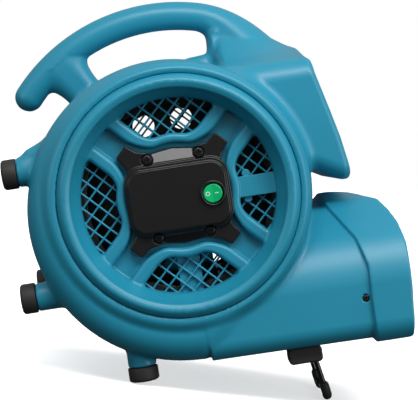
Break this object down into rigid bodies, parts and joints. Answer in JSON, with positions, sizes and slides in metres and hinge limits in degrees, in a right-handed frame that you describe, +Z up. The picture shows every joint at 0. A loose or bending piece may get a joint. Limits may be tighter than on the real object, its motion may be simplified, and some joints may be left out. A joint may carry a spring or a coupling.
{
  "type": "compact centrifugal air mover",
  "caption": "Compact centrifugal air mover with a moulded volute housing, grille inlets, an ionizer pod, carrying handle, rubber feet and a fold-away wire kickstand.",
  "frame": {"origin": "centre of the footprint of the bounding box, on the floor that the machine stands on", "axes": "+X towards the air outlet, +Y from the ionizer side to the other inlet, +Z up"},
  "size_m": [0.412, 0.28, 0.3758],
  "materials": {
    "body_teal": "satin moulded, fine grain",
    "satin_black": "satin moulded",
    "rubber_black": "matte rubber",
    "green_lens": "clear gloss",
    "plated_steel": "plated",
    "dark_steel": "black oxide",
    "motor_enamel": "enamel",
    "copper_wire": "varnished windings",
    "potting_black": "moulded",
    "red_button": "gloss"
  },
  "bodies": {
    "housing": {"housing_shell_near": "body_teal", "housing_shell_far": "body_teal", "inlet_cover_near": "body_teal", "inlet_cover_far": "body_teal", "ion_cover": "satin_black", "hub_cover_far": "satin_black", "ion_switch_body": "satin_black", "control_panel": "satin_black", "cord_gland": "satin_black", "outlet_guard": "satin_black", "base_foot_near": "rubber_black", "base_foot_far": "rubber_black", "back_foot_upper_near": "rubber_black", "back_foot_upper_far": "rubber_black", "back_foot_lower_near": "rubber_black", "back_foot_lower_far": "rubber_black", "stand_bracket_near": "rubber_black", "stand_bracket_far": "rubber_black", "motor_bearing_near": "plated_steel", "motor_bearing_far": "plated_steel", "motor_capacitor": "plated_steel", "ion_cover_screw_1": "dark_steel", "ion_cover_screw_2": "dark_steel", "ion_cover_screw_3": "dark_steel", "ion_cover_screw_4": "dark_steel", "hub_cover_screw_1": "dark_steel", "hub_cover_screw_2": "dark_steel", "hub_cover_screw_3": "dark_steel", "hub_cover_screw_4": "dark_steel", "motor_bolt_1": "dark_steel", "motor_bolt_2": "dark_steel", "motor_bolt_3": "dark_steel", "motor_bolt_4": "dark_steel", "panel_screw_1": "dark_steel", "panel_screw_2": "dark_steel", "panel_screw_3": "dark_steel", "panel_screw_4": "dark_steel", "guard_screw_near": "dark_steel", "guard_screw_far": "dark_steel", "motor_can": "motor_enamel", "motor_end_bell": "motor_enamel", "motor_stator": "motor_enamel", "motor_coil_near": "copper_wire", "motor_coil_far": "copper_wire", "ion_generator": "potting_black", "ion_emitter_1": "potting_black", "ion_emitter_2": "potting_black", "speed_switch_body": "potting_black", "breaker_body": "potting_black"},
    "blower": {"impeller": "satin_black", "impeller_hub": "plated_steel", "hub_set_screw": "dark_steel", "motor_shaft": "plated_steel", "motor_rotor": "plated_steel"},
    "ion_rocker": {"ion_switch_rocker": "green_lens"},
    "stand": {"kickstand_wire": "plated_steel", "kickstand_boot_near": "rubber_black", "kickstand_boot_far": "rubber_black"},
    "knob": {"speed_knob": "satin_black"},
    "breaker": {"breaker_button": "red_button"}
  },
  "joints": [
    {"name": "blower_spin", "type": "hinge", "parent": "housing", "child": "blower", "pos_m": [-0.03048, 0, 0.18356], "axis": [0, 1, 0], "continuous": true},
    {"name": "ion_rocker_tilt", "type": "hinge", "parent": "housing", "child": "ion_rocker", "pos_m": [0.00115, -0.1246, 0.1901], "axis": [-0.2807, 0, 0.9598], "range_deg": [0, 14]},
    {"name": "stand_fold", "type": "hinge", "parent": "housing", "child": "stand", "pos_m": [0.11861, 0, 0.05316], "axis": [0, 1, 0], "range_deg": [0, 99]},
    {"name": "speed_knob_turn", "type": "hinge", "parent": "housing", "child": "knob", "pos_m": [0.09461, -0.022, 0.28779], "axis": [0.878, 0, 0.4787], "range_deg": [0, 135]},
    {"name": "breaker_press", "type": "slide", "parent": "housing", "child": "breaker", "axis": [-0.878, 0, -0.4787], "range_m": [0, 0.003], "stiffness_N_per_m": 300}
  ]
}
